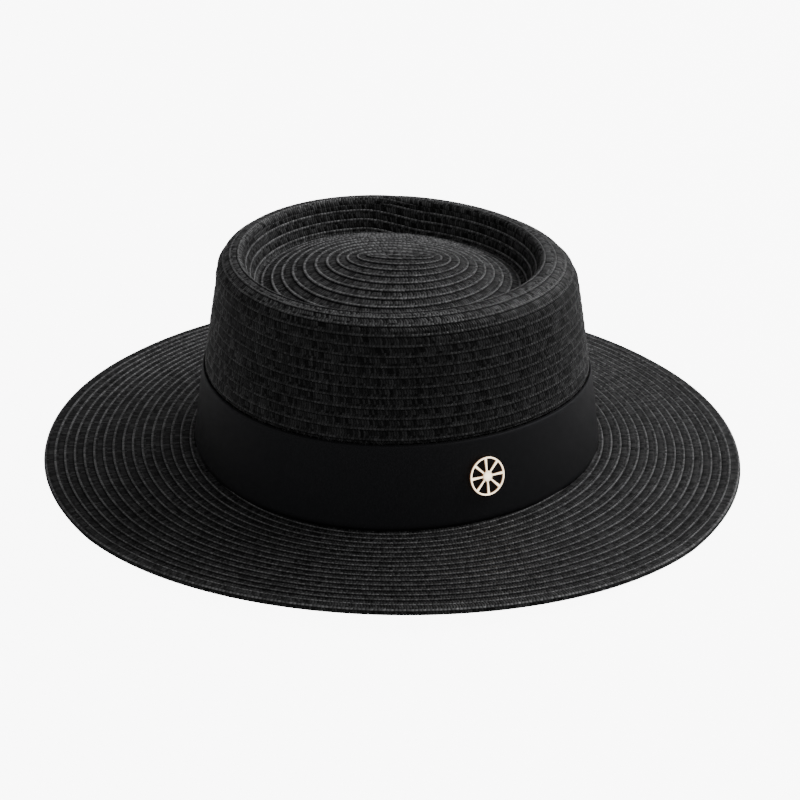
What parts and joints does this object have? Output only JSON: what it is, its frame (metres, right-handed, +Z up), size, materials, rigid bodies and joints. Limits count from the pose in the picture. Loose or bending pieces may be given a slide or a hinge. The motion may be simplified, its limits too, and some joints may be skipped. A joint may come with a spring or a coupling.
{
  "type": "straw boater hat",
  "caption": "Straw boater hat with a tapered crown, sunken domed tip, wide flat brim, ribbon round the crown and a small pierced round badge, to be worn on a head",
  "frame": {"origin": "On the surface that the hat rests on, under the middle of the brim", "axes": "+Z up through the crown, +Y from the wearer's front to the back along the longest extent, +X to the wearer's left"},
  "size_m": [0.306, 0.33, 0.0919],
  "materials": {
    "straw_crown": "black sewn paper-straw braid, slightly glossy",
    "straw_brim": "black sewn paper-straw braid, slightly glossy",
    "ribbon": "black grosgrain, satin",
    "badge_metal": "pale gold plate, polished"
  },
  "bodies": {
    "root": {"crown_side": "straw_crown", "crown_tip": "straw_crown", "brim": "straw_brim", "ribbon_band": "ribbon", "badge": "badge_metal"}
  },
  "joints": []
}
